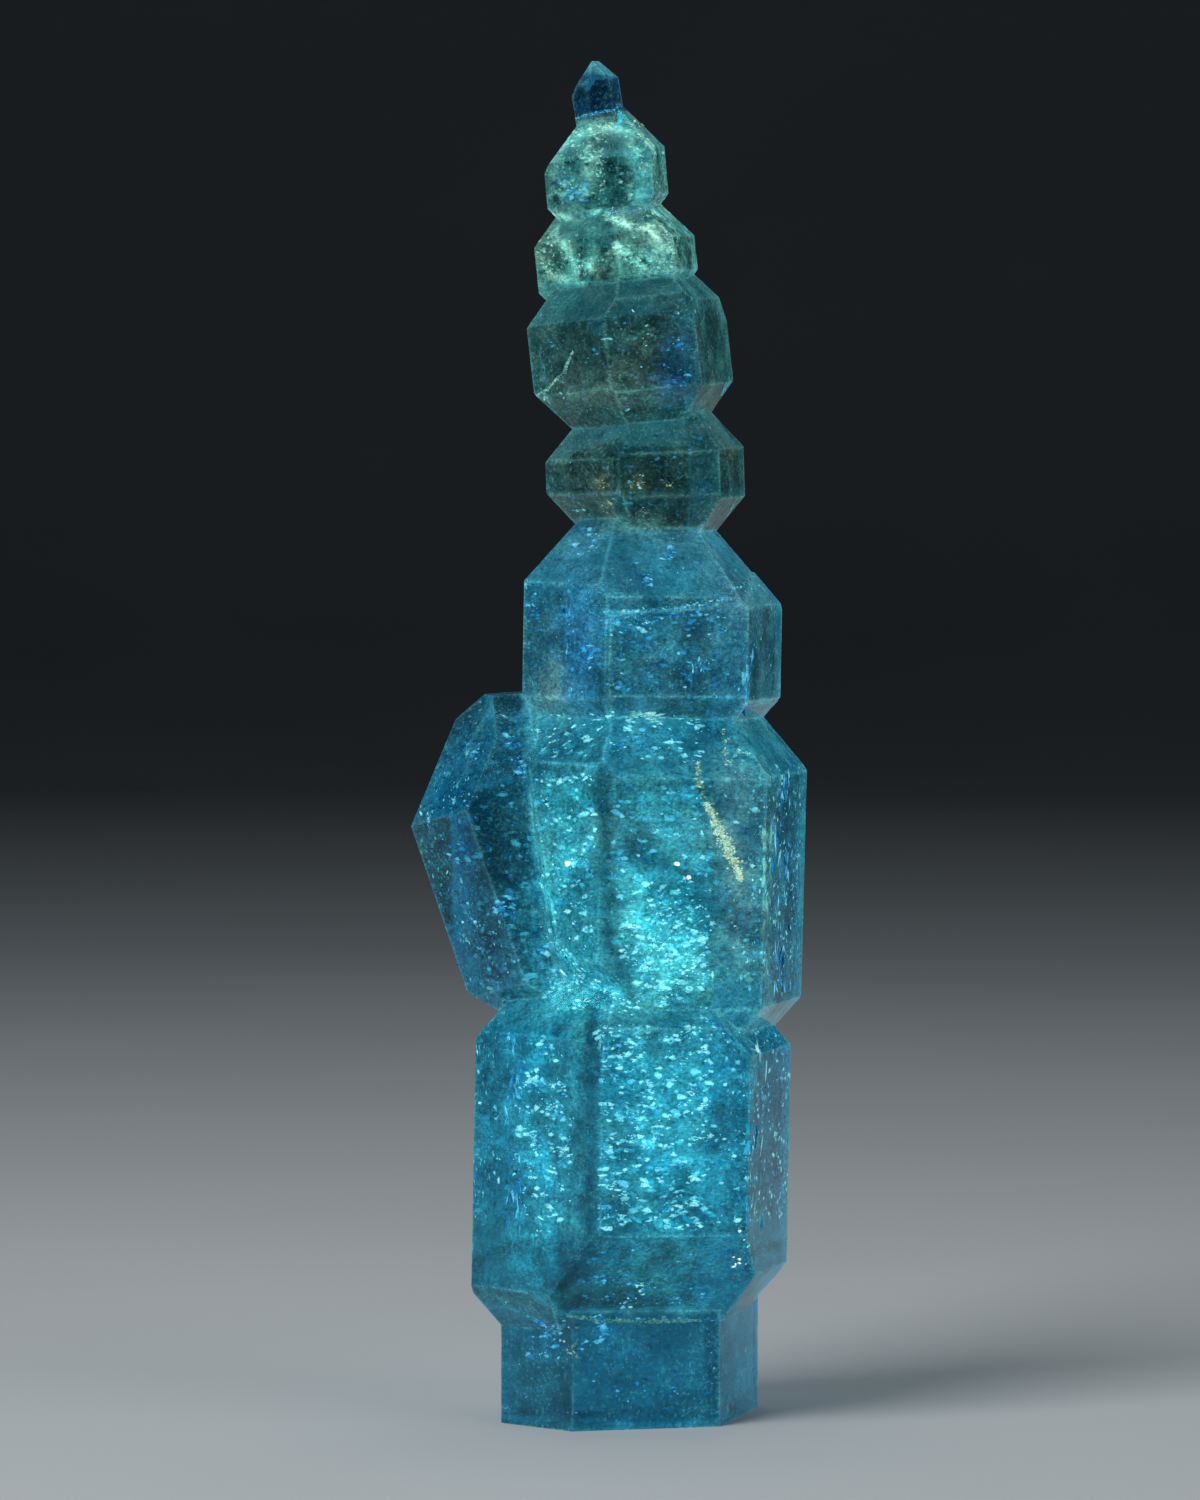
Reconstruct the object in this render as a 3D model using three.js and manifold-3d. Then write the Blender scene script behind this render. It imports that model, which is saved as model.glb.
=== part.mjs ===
// Petroleum quartz crystal: a tower of nine six-sided quartz growths stacked in parallel growth,
// with one leaning side crystal grown into its left flank. Millimetres, +Z up, front towards -Y.
// It grew as one piece, so it is one solid, cut off flat where it stood on its rock.

import * as THREE from 'three';
import { ConvexGeometry } from 'three/addons/geometries/ConvexGeometry.js';
import { mergeVertices } from 'three/addons/utils/BufferGeometryUtils.js';
import Module from 'manifold-3d';

const wasm = await Module();
wasm.setup();

// Quartz's own angles, in degrees

// Every growth shares this turn of its six prism faces, measured from the front towards the right.
const LATTICE_TURN = 15.5;
// The pointed faces sit directly above and below the prism faces, tipped this far from the upright.
const POINT_FACE_TIP = 51.8;

// The six prism faces, named as seen from the front, each 60 degrees on from the one before
const FACES = ['frontLeft', 'front', 'right', 'backRight', 'back', 'left'];

// Driving dimensions in millimetres
//   edges: where the four upright edges seen from the front stand across the growth, left to right
//   centre: the middle of the prism, as [across, depth, height]
//   lean: degrees that the top leans to the left
//   tops, feet: where the prism ends above and below each of FACES, from the growth's middle
//   thicker: how far each of FACES is set outwards, where a later layer lies on a growth
//   trims: narrow upright faces that take an edge off, as { between, depth }
//   cuts: faces of other slopes, as { facing, through }, from the growth's middle

const TIP = {
  edges: [-1.15, -0.43, 0.67, 1.15],
  centre: [-1.51, 0, 61.4],
  lean: 9,
  tops: [1.2, 1.5, 1.3, 1.2, 1.3, 0.7],
  feet: [-2, -2, -2, -2, -2, -2],
};

const SECOND = {
  edges: [-2.85, -1.25, 2.18, 2.85],
  centre: [-1.14, 0.2, 58.0],
  lean: 5,
  tops: [1.0, 1.6, 1.4, 1.4, 1.1, 0.6],
  feet: [-1.1, -0.9, -0.8, -0.9, -1.0, -1.1],
};

const THIRD = {
  edges: [-3.76, 0.1, 2.7, 3.76],
  centre: [-0.7, -0.2, 54.5],
  lean: 6,
  tops: [0.9, 1.3, 0.6, 0.5, 1.0, 0.7],
  feet: [-1.3, -1.0, -1.0, -1.1, -1.0, -1.4],
  cuts: [{ facing: [0, 0, 1], through: [0, 0, 2.2] }],
};

const FOURTH = {
  edges: [-4.68, -1.1, 3.13, 4.68],
  centre: [0, 0.1, 49.8],
  lean: 6.3,
  tops: [1.9, 2.7, 2.3, 1.2, 1.9, 1.8],
  feet: [-1.4, -1.6, -1.7, -1.5, -1.4, -1.2],
  cuts: [{ facing: [0, 0, 1], through: [0, 0, 3.5] }],
};

const FIFTH = {
  edges: [-4.65, -1.24, 3.43, 4.65],
  centre: [0.68, -0.3, 44.4],
  lean: 2,
  tops: [0.7, 0.9, 1.0, 1.1, 1.0, 0.6],
  feet: [-0.9, -1.1, -1.3, -1.2, -1.0, -0.8],
};

const SIXTH = {
  edges: [-6.0, -2.17, 4.36, 6.0],
  centre: [0.97, -0.4, 35.8],
  lean: -1,
  tops: [3.4, 2.9, 2.5, 2.2, 2.9, 3.5],
  feet: [-1.9, -1.9, -2.1, -2.1, -2.0, -1.8],
};

// A thin later layer on the sixth growth's front and right, ending upwards in a crisp ledge
const SIXTH_LAYER = {
  ...SIXTH,
  thicker: [-0.02, 0.22, 0.12, 0.08, -0.02, -0.02],
  feet: [-1.7, -1.7, -1.9, -1.9, -1.8, -1.6],
  cuts: [{ facing: [-0.02, -0.23, 1], through: [-0.6, -5.4, 2.26] }],
};

const SEVENTH = {
  edges: [-7.4, -2.0, 5.37, 7.4],
  centre: [0.79, -0.4, 25.4],
  lean: -1.4,
  tops: [5.5, 5.0, 5.1, 5.4, 5.3, 5.5],
  feet: [-3.5, -5.7, -5.6, -5.4, -5.2, -4.4],
  trims: [{ between: ['frontLeft', 'front'], depth: 0.18 }],
  cuts: [
    { facing: [-0.951, -0.309, -0.123], through: [-5.52, -3.88, 3.93] },
    { facing: [-0.75, -0.35, -0.46], through: [-4.32, -5.06, -2.8] },
  ],
};

const EIGHTH = {
  edges: [-7.4, -1.84, 5.35, 7.4],
  centre: [0.08, -1.1, 13.3],
  lean: -1,
  tops: [5.0, 5.6, 4.3, 4.1, 4.3, 4.6],
  feet: [-6.9, -4.0, -6.0, -6.4, -6.0, -7.3],
  trims: [{ between: ['frontLeft', 'front'], depth: 0.2 }],
};

const NINTH = {
  edges: [-6.06, -2.71, 4.13, 6.06],
  centre: [0, 0.6, 2.6],
  lean: 0,
  tops: [4.7, 4.7, 4.7, 4.7, 4.7, 4.7],
  feet: [-8, -8, -8, -8, -8, -8],
};

const SIDE_CRYSTAL = {
  edges: [-3.95, -1.16, 2.9, 3.95],
  centre: [-5.07, -0.9, 24.9],
  lean: 18.6,
  tops: [4.5, 7.2, 9, 9, 5, 4.5],
  feet: [-4.0, -5.5, -5.0, -4.5, -4.0, -3.6],
  cuts: [
    { facing: [-0.4, 0, 1], through: [1.0, 0, 9.1] },
    { facing: [0.28, 0, 1], through: [1.6, 0, 9.1] },
  ],
};

const GROWTHS = [
  TIP,
  SECOND,
  THIRD,
  FOURTH,
  FIFTH,
  SIXTH,
  SIXTH_LAYER,
  SEVENTH,
  EIGHTH,
  NINTH,
  SIDE_CRYSTAL,
];

const NO_LAYER = FACES.map(() => 0);
const radians = THREE.MathUtils.degToRad;

// A crystal's planes and corners

// The outward direction and the left-to-right run of prism face i
function faceDirections(i) {
  const turn = radians(LATTICE_TURN + 60 * (i - 1));
  return {
    outward: new THREE.Vector2(Math.sin(turn), -Math.cos(turn)),
    along: new THREE.Vector2(Math.cos(turn), Math.sin(turn)),
  };
}

// The six corners of a growth's cross-section, centred on its axis. The four front edges fix the
// three front faces, and the three back faces close the hexagon as evenly as its angles allow.
function sectionCorners(edges) {
  const directions = FACES.map((_, i) => faceDirections(i));
  const [frontLeft, front, right] = [0, 1, 2].map((i) => (edges[i + 1] - edges[i]) / directions[i].along.x);
  const back = (frontLeft + 2 * front + right) / 4;
  const widths = [frontLeft, front, right, frontLeft + front - back, back, front + right - back];
  const corners = [new THREE.Vector2(edges[0], 0)];
  for (let i = 0; i < 5; i++) {
    corners.push(corners[i].clone().addScaledVector(directions[i].along, widths[i]));
  }
  const middleDepth = corners.reduce((sum, corner) => sum + corner.y, 0) / corners.length;
  corners.forEach((corner) => corner.setY(corner.y - middleDepth));
  return corners;
}

// The flat faces that bound one growth: six prism faces, six above, six below, any trims and cuts
function boundingPlanes({ edges, tops, feet, thicker = NO_LAYER, trims = [], cuts = [] }) {
  const corners = sectionCorners(edges);
  const planes = [];
  const addPlane = (normal, point) => {
    planes.push(new THREE.Plane().setFromNormalAndCoplanarPoint(normal.normalize(), point));
  };
  const tipped = Math.tan(radians(90 - POINT_FACE_TIP));
  FACES.forEach((_, i) => {
    const { outward } = faceDirections(i);
    const foot = corners[i].clone().addScaledVector(outward, thicker[i]);
    const onFace = (height) => new THREE.Vector3(foot.x, foot.y, height);
    addPlane(new THREE.Vector3(outward.x, outward.y, 0), onFace(0));
    addPlane(new THREE.Vector3(outward.x, outward.y, tipped), onFace(tops[i]));
    addPlane(new THREE.Vector3(outward.x, outward.y, -tipped), onFace(feet[i]));
  });
  for (const { between, depth } of trims) {
    const [first, second] = between.map((name) => FACES.indexOf(name));
    const outward = faceDirections(first).outward.clone().add(faceDirections(second).outward).normalize();
    const corner = corners[second].clone().addScaledVector(outward, -depth);
    addPlane(new THREE.Vector3(outward.x, outward.y, 0), new THREE.Vector3(corner.x, corner.y, 0));
  }
  for (const { facing, through } of cuts) {
    addPlane(new THREE.Vector3(...facing), new THREE.Vector3(...through));
  }
  return planes;
}

// Every point where three planes meet that no other plane cuts away
function cornersInside(planes) {
  const TOUCHING = 1e-6;
  const found = [];
  for (let i = 0; i < planes.length; i++) {
    for (let j = i + 1; j < planes.length; j++) {
      for (let k = j + 1; k < planes.length; k++) {
        const point = meetingPoint(planes[i], planes[j], planes[k]);
        if (point && planes.every((plane) => plane.distanceToPoint(point) < TOUCHING)) {
          found.push(point);
        }
      }
    }
  }
  return found;
}

function meetingPoint(a, b, c) {
  const acrossBC = b.normal.clone().cross(c.normal);
  const volume = a.normal.dot(acrossBC);
  if (Math.abs(volume) < 1e-6) {
    return null;
  }
  return acrossBC
    .multiplyScalar(-a.constant)
    .addScaledVector(c.normal.clone().cross(a.normal), -b.constant)
    .addScaledVector(a.normal.clone().cross(b.normal), -c.constant)
    .divideScalar(volume);
}

// One growth as a closed solid, leaning and in place
function growCrystal(growth) {
  const geometry = new ConvexGeometry(cornersInside(boundingPlanes(growth)));
  geometry.rotateY(radians(-growth.lean));
  geometry.translate(...growth.centre);
  return toSolid(geometry);
}

// Between three.js geometry and manifold solids

function toSolid(geometry) {
  geometry.deleteAttribute('normal');
  geometry.deleteAttribute('uv');
  const merged = mergeVertices(geometry, 1e-5);
  const vertProperties = new Float32Array(merged.attributes.position.array);
  const triVerts = new Uint32Array(merged.index.array);
  return new wasm.Manifold(new wasm.Mesh({ numProp: 3, vertProperties, triVerts }));
}

function toGeometry(solid) {
  const { vertProperties, triVerts } = solid.getMesh();
  const geometry = new THREE.BufferGeometry();
  geometry.setAttribute('position', new THREE.BufferAttribute(vertProperties, 3));
  geometry.setIndex(new THREE.BufferAttribute(triVerts, 1));
  return geometry;
}

// The flat cut where the tower stood on its rock
function cutFlat(solid) {
  const ROOM = 100;
  const below = new THREE.BoxGeometry(ROOM, ROOM, ROOM);
  below.translate(0, 0, -ROOM / 2);
  return solid.subtract(toSolid(below));
}

const grown = GROWTHS.map(growCrystal).reduce((whole, growth) => whole.add(growth));
const geometry = toGeometry(cutFlat(grown));

// The origin goes to the middle of the base of the bounding box
geometry.computeBoundingBox();
const middle = geometry.boundingBox.getCenter(new THREE.Vector3());
geometry.translate(-middle.x, -middle.y, -geometry.boundingBox.min.z);

const quartz = new THREE.MeshStandardMaterial({
  color: 0x3f97ab,
  roughness: 0.08,
  metalness: 0,
});

const crystal = new THREE.Mesh(geometry, quartz);
crystal.name = 'quartz_crystal';

const part = new THREE.Group();
part.add(crystal);

export default part;
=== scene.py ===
"""Petroleum quartz crystal: the look of a stacked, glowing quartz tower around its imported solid."""

import math
import random

import bmesh
import bpy
import numpy as np
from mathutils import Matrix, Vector, noise
from mathutils.bvhtree import BVHTree
from mathutils.kdtree import KDTree


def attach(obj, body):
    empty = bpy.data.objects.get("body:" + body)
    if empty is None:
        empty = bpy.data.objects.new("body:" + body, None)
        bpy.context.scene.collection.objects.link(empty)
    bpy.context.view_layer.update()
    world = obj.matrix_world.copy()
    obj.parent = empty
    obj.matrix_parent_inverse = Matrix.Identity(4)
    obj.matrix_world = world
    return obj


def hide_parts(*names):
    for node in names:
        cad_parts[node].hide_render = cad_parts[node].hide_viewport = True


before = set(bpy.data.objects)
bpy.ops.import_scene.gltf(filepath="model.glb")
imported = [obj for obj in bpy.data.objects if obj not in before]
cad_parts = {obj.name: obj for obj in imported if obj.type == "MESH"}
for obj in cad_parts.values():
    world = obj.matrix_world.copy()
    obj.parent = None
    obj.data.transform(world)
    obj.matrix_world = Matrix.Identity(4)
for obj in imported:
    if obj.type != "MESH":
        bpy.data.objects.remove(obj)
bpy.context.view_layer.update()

MM = 0.001
NODE = "quartz_crystal"
SEED = 11

# Camera: the photograph's view, nearly level and from far off, with the flat base brought into frame
CAMERA_LENS = 200.0
CAMERA_DISTANCE = 0.39
CAMERA_ELEVATION = 2.5
CAMERA_AIM = Vector((-0.47, 0.0, 31.4)) * MM
CAMERA_SENSOR = 36.0
CAMERA_CLIP = (0.01, 10.0)

# Growths from the tip down, split by planes through the waists: the height of each waist on the
# tower's axis, that axis's place across, and how far the waist rises towards the right
WAISTS = [
    (61.1, -0.5, 0.16),
    (56.7, -0.2, 0.06),
    (53.4, 0.6, 0.1),
    (46.9, 1.2, 0.06),
    (41.7, 1.6, 0.0),
    (33.1, 1.7, -0.02),
    (18.7, 1.0, -0.02),
    (5.4, 1.0, 0.0),
]

# Where the side crystal ends and the tower begins, seen from the front: x for each height, in mm
SIDE_BORDER_HEIGHTS = [19.2, 21.3, 22.6, 25.0, 28.0, 31.0, 34.2]
SIDE_BORDER_X = [-5.5, -1.6, -2.7, -3.1, -3.7, -3.8, -4.1]

# The side crystal's place in the lists of growths, after the tower's nine
SIDE_CRYSTAL = 9

# The crystal's skin: the solid's own faces, with edges worn round, in a mesh fine enough to carry
# its zones of colour and painted shade, and the frost along its edges with its painted highlight. Faces
# that turn by less than FLAT_TURN are one face, and an edge that turns by more than EDGE_TURN is sharp.
# The skin's own edges are longest on the lower growths, and shorter above VEILED_ABOVE mm, where fine
# veils are stored on its points.
FLAT_TURN = math.radians(0.6)
EDGE_TURN = math.radians(6)
EDGE_WEAR = 0.06 * MM
WEAR_SEGMENTS = 2
WEAR_ROUNDNESS = 0.5
EDGE_POINT_SPACING = 0.08 * MM
SKIN_EDGE = 0.52 * MM
VEILED_EDGE = 0.26 * MM
VEILED_ABOVE = 53.0
SLIVER = 0.03 * MM
NORMAL_WEIGHT = 90

# How far the frost and its painted highlight reach from an edge, in mm, and how much a band of painted
# shade clears them
EDGE_REACH = 0.22
FROST_AND_HIGHLIGHT_CLEARED = 1.8

# Small chips along the edges: how wide and deep, how rare, and how far above the base they start
CHIP_SIZE = 0.5 * MM
CHIP_DEPTH = 0.05 * MM
CHIP_RARITY = 0.25
CHIP_LOWEST = 0.2 * MM

# Glow of each growth from the tip down, then the side crystal, as linear light
GROWTH_GLOW = [
    (0.002, 0.014, 0.034),
    (0.028, 0.064, 0.058),
    (0.040, 0.080, 0.064),
    (0.019, 0.042, 0.037),
    (0.016, 0.032, 0.028),
    (0.024, 0.086, 0.106),
    (0.018, 0.096, 0.112),
    (0.006, 0.072, 0.100),
    (0.004, 0.040, 0.060),
    (0.006, 0.030, 0.042),
]

# The very tip, above this height in mm, glows more than the rest of its growth
TIP_CAP_HEIGHT = 62.9
TIP_CAP_GLOW = (0.030, 0.110, 0.120)

# How strongly each growth's glow is broken into light and dark patches
GROWTH_MOTTLE = [0.5, 1.0, 1.0, 0.5, 0.5, 0.3, 0.36, 0.42, 0.4, 0.45]

# Colour that each growth gives to the light passing through its faces
GROWTH_TINT = [
    (0.08, 0.34, 0.54),
    (0.60, 0.88, 0.82),
    (0.64, 0.90, 0.80),
    (0.42, 0.76, 0.71),
    (0.40, 0.74, 0.70),
    (0.42, 0.80, 0.88),
    (0.38, 0.84, 0.92),
    (0.36, 0.82, 0.92),
    (0.34, 0.76, 0.90),
    (0.32, 0.74, 0.88),
]

# Where the inside glows more than its growth does, or less where the colour is negative, as
# (place, reach each way, colour), in mm and linear light
GLOW_CORES = [
    ((2.2, -5.5, 22.8), (2.2, 4.0, 3.4), (0.034, 0.31, 0.34)),
    ((2.4, -5.5, 28.0), (2.4, 4.0, 3.0), (0.010, 0.08, 0.10)),
    ((-2.0, -5.0, 26.0), (1.5, 4.0, 4.6), (0.026, 0.19, 0.21)),
    ((0.9, -5.5, 32.2), (4.0, 4.0, 1.2), (0.006, 0.05, 0.08)),
    ((2.1, -6.0, 14.2), (2.7, 4.0, 4.8), (0.020, 0.20, 0.25)),
    ((-3.0, -5.5, 13.4), (1.7, 4.0, 4.8), (0.012, 0.13, 0.17)),
    ((-1.7, -5.5, 20.2), (1.7, 4.0, 1.1), (0.030, 0.22, 0.24)),
    ((5.9, -4.0, 26.0), (1.3, 3.0, 5.0), (0.055, 0.048, 0.016)),
    ((1.0, 6.0, 24.0), (4.0, 3.6, 5.0), (0.014, 0.15, 0.19)),
    ((0.5, 6.0, 14.0), (4.0, 3.6, 5.0), (0.012, 0.14, 0.18)),
    ((0.0, 0.0, 36.5), (5.0, 5.0, 2.6), (0.003, 0.03, 0.05)),
    ((0.4, -3.0, 41.7), (2.4, 4.0, 0.8), (0.024, 0.080, 0.080)),
    ((3.0, -4.0, 49.2), (0.8, 3.0, 1.5), (0.000, 0.018, 0.095)),
    ((-1.4, -5.0, 36.6), (0.8, 4.0, 3.0), (0.000, 0.028, 0.110)),
    ((-2.8, -5.0, 34.4), (0.6, 3.0, 1.2), (0.050, 0.045, 0.005)),
    ((-0.35, -5.0, 43.9), (0.4, 3.0, 0.4), (0.060, 0.062, 0.024)),
    ((1.3, -5.0, 43.9), (0.6, 3.0, 0.3), (0.048, 0.052, 0.022)),
    ((-0.1, -5.0, 42.8), (0.35, 3.0, 0.3), (0.052, 0.056, 0.022)),
    ((6.6, -2.5, 36.5), (1.2, 4.0, 3.6), (-0.006, -0.030, -0.044)),
    ((8.8, -1.5, 25.4), (1.4, 5.0, 7.0), (-0.016, -0.066, -0.074)),
    ((8.2, -1.5, 13.0), (1.6, 5.0, 6.0), (-0.006, -0.060, -0.088)),
]

# Painted shade: dark bands seen on the front, as paths of (across, height), with how wide and how dark
# they are
SHADE_BANDS = [
    dict(path=[(-0.26, 30.7), (0.0, 22.6), (1.0, 20.3)], width=0.32, depth=0.55),
    dict(path=[(-0.9, 19.7), (-0.95, 8.8), (-2.2, 6.8)], width=0.32, depth=0.55),
    dict(path=[(0.2, 59.6), (0.05, 58.4), (0.1, 57.2)], width=0.62, depth=0.78),
    dict(path=[(-2.0, 59.4), (-1.7, 58.8)], width=0.3, depth=0.6),
    dict(path=[(-1.9, 55.9), (-0.9, 55.2), (0.2, 55.3)], width=0.34, depth=0.6),
    dict(path=[(-0.6, 62.6), (-0.6, 61.5)], width=0.34, depth=0.5),
]

# Pale feathery veils in the upper growths, as the same kind of paths, with how strongly they glow
VEIL_LIGHT = np.array((0.42, 0.76, 0.60))
LIGHT_VEILS = [
    dict(
        path=[(-2.7, 59.1), (-1.8, 59.9), (-1.1, 60.4), (0.2, 60.5), (1.2, 60.4)],
        width=0.24,
        glow=0.25,
    ),
    dict(path=[(1.2, 60.3), (1.9, 59.7), (2.3, 59.2)], width=0.3, glow=0.22),
    dict(path=[(-0.8, 59.9), (-1.05, 58.9), (-1.05, 57.4)], width=0.28, glow=0.2),
    dict(path=[(1.3, 59.6), (1.35, 57.2)], width=0.42, glow=0.13),
    dict(path=[(-2.7, 58.3), (-2.4, 57.3)], width=0.26, glow=0.16),
    dict(path=[(-2.9, 56.5), (-1.9, 56.2)], width=0.14, glow=0.34),
    dict(
        path=[(-0.85, 56.6), (0.0, 56.3), (0.9, 55.8), (1.9, 55.6), (2.3, 55.1)],
        width=0.16,
        glow=0.46,
    ),
    dict(path=[(-3.0, 56.0), (-2.4, 55.2), (-1.8, 54.4), (-1.0, 53.9)], width=0.27, glow=0.32),
    dict(path=[(-1.8, 54.4), (-1.3, 53.3)], width=0.2, glow=0.3),
    dict(path=[(-3.0, 53.7), (-2.0, 53.3)], width=0.2, glow=0.24),
    dict(path=[(0.3, 54.9), (0.9, 54.4), (1.5, 54.0)], width=0.2, glow=0.4),
    dict(path=[(1.5, 54.2), (2.6, 54.6), (2.4, 55.2)], width=0.5, glow=0.17),
    dict(path=[(2.1, 56.6), (2.8, 55.8), (3.5, 54.9)], width=0.13, glow=0.34),
]


def clamp01(value):
    return min(1.0, max(0.0, value))


def growth_at(point):
    """The growth's index from the tip, 0 to 8, or 9 for the side crystal. The point is in mm."""
    x, _, z = point
    if SIDE_BORDER_HEIGHTS[0] < z < SIDE_BORDER_HEIGHTS[-1]:
        if x < np.interp(z, SIDE_BORDER_HEIGHTS, SIDE_BORDER_X):
            return SIDE_CRYSTAL
    for index, (height, across, rise) in enumerate(WAISTS):
        if z > height + rise * (x - across):
            return index
    return len(WAISTS)


def sharp_edge_tree(bm):
    """A tree of points along every sharp or open edge."""
    points = []
    for edge in bm.edges:
        if len(edge.link_faces) == 2 and edge.calc_face_angle(0.0) < EDGE_TURN:
            continue
        a, b = edge.verts[0].co, edge.verts[1].co
        steps = max(1, int((b - a).length / EDGE_POINT_SPACING))
        points.extend(a.lerp(b, step / steps) for step in range(steps + 1))
    tree = KDTree(len(points))
    for index, point in enumerate(points):
        tree.insert(point, index)
    tree.balance()
    return tree


def split_long_edges(points, triangles, longest_at):
    """Halves every edge longer than its middle allows, again and again, keeping neighbours joined."""
    points = [Vector(p) for p in points]
    while True:
        middles = {}
        for triangle in triangles:
            for k in range(3):
                edge = tuple(sorted((triangle[k], triangle[k - 2])))
                if edge in middles:
                    continue
                middle = (points[edge[0]] + points[edge[1]]) / 2
                if (points[edge[0]] - points[edge[1]]).length > longest_at(middle):
                    middles[edge] = len(points)
                    points.append(middle)
        if not middles:
            return points, triangles
        split = []
        for triangle in triangles:
            split.extend(split_triangle(points, triangle, middles))
        triangles = split


def split_triangle(points, triangle, middles):
    """The pieces of one triangle, cut at whichever of its edges have a middle point."""
    for turn in range(3):
        a, b, c = triangle[turn], triangle[turn - 2], triangle[turn - 1]
        ab, bc, ca = (middles.get(tuple(sorted(edge))) for edge in ((a, b), (b, c), (c, a)))
        if ab and bc and ca:
            return [(a, ab, ca), (ab, b, bc), (ca, bc, c), (ab, bc, ca)]
        if ab and ca:
            if (points[ab] - points[c]).length < (points[ca] - points[b]).length:
                return [(a, ab, ca), (ab, b, c), (ab, c, ca)]
            return [(a, ab, ca), (ab, b, ca), (b, c, ca)]
        if ab and not bc:
            return [(a, ab, c), (ab, b, c)]
    return [triangle]


def make_object(name, bm):
    mesh = bpy.data.meshes.new(name)
    bm.to_mesh(mesh)
    bm.free()
    made = bpy.data.objects.new(name, mesh)
    bpy.context.collection.objects.link(made)
    return made


def distance_to_path(across, height, path):
    """How far a place on the front is from a path, in mm."""
    nearest = math.inf
    for (ax, az), (bx, bz) in zip(path, path[1:]):
        run, rise = bx - ax, bz - az
        along = clamp01(((across - ax) * run + (height - az) * rise) / (run**2 + rise**2))
        nearest = min(nearest, math.hypot(across - ax - along * run, height - az - along * rise))
    return nearest


def band_strength(across, height, band):
    """How near a place is to a band's path, from 1 on it to 0 well away from it."""
    return math.exp(-((distance_to_path(across, height, band["path"]) / band["width"]) ** 2))


def painted_shade_at(across, height):
    """How much of its light a place on the front loses to a band of painted shade, from 0 to 1."""
    return max(band["depth"] * band_strength(across, height, band) for band in SHADE_BANDS)


def light_veil(across, height):
    """How strongly a pale veil glows at a place on the front."""
    if height < VEILED_ABOVE:
        return 0.0
    return max(veil["glow"] * band_strength(across, height, veil) for veil in LIGHT_VEILS)


def skin_edge_at(point):
    """How long the skin's edges may be: shorter on the veiled upper growths than below them."""
    return VEILED_EDGE if point.z > VEILED_ABOVE * MM else SKIN_EDGE


def is_sharp(edge):
    return len(edge.link_faces) == 2 and edge.calc_face_angle(0.0) > EDGE_TURN


def wear_edges(bm):
    """Rounds the sharp edges by a fine bevel."""
    bmesh.ops.bevel(
        bm,
        geom=[edge for edge in bm.edges if is_sharp(edge)],
        offset=EDGE_WEAR,
        offset_type="OFFSET",
        segments=WEAR_SEGMENTS,
        profile=WEAR_ROUNDNESS,
        affect="EDGES",
        clamp_overlap=True,
    )


def refined(bm):
    """The same closed surface in small triangles, as a new bmesh in place of the old one."""
    bmesh.ops.triangulate(bm, faces=bm.faces[:])
    bm.verts.index_update()
    triangles = [tuple(vert.index for vert in face.verts) for face in bm.faces]
    points, triangles = split_long_edges([vert.co for vert in bm.verts], triangles, skin_edge_at)
    bm.free()
    mesh = bpy.data.meshes.new("fine")
    mesh.from_pydata(points, [], triangles)
    fine = bmesh.new()
    fine.from_mesh(mesh)
    bpy.data.meshes.remove(mesh)
    bmesh.ops.recalc_face_normals(fine, faces=fine.faces[:])
    fine.normal_update()
    return fine


def chip_edges(bm, near_edge):
    """Sinks the surface a little in small patches along the edges."""
    for vert in bm.verts:
        chip = noise.noise(vert.co / CHIP_SIZE) - CHIP_RARITY
        if vert.co.z > CHIP_LOWEST and chip > 0:
            vert.co -= vert.normal * (chip * CHIP_DEPTH * near_edge[vert.index])


def build_skin():
    """The crystal's skin, in place of its plain solid."""
    bm = bmesh.new()
    bm.from_mesh(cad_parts[NODE].data)
    bmesh.ops.remove_doubles(bm, verts=bm.verts[:], dist=SLIVER)
    bmesh.ops.dissolve_limit(bm, angle_limit=FLAT_TURN, verts=bm.verts[:], edges=bm.edges[:])
    edge_tree = sharp_edge_tree(bm)
    wear_edges(bm)
    bm = refined(bm)
    near_edge = {}
    for vert in bm.verts:
        distance = edge_tree.find(vert.co)[2] / MM
        near_edge[vert.index] = math.exp(-((distance / EDGE_REACH) ** 2))
    chip_edges(bm, near_edge)
    skin = make_object("crystal_skin", bm)
    paint_skin(skin, near_edge)
    for polygon in skin.data.polygons:
        polygon.use_smooth = True
    smooth = skin.modifiers.new("Face weighted normals", "WEIGHTED_NORMAL")
    smooth.weight = NORMAL_WEIGHT
    return skin


def glow_at(point, growth):
    """The light that the inside gives at a point in mm, before veils and dark bands."""
    colour = np.array(TIP_CAP_GLOW if point.z > TIP_CAP_HEIGHT else GROWTH_GLOW[growth])
    for place, reach, light in GLOW_CORES:
        away = sum(((point[k] - place[k]) / reach[k]) ** 2 for k in range(3))
        colour = colour + math.exp(-away) * np.array(light)
    return colour


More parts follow.
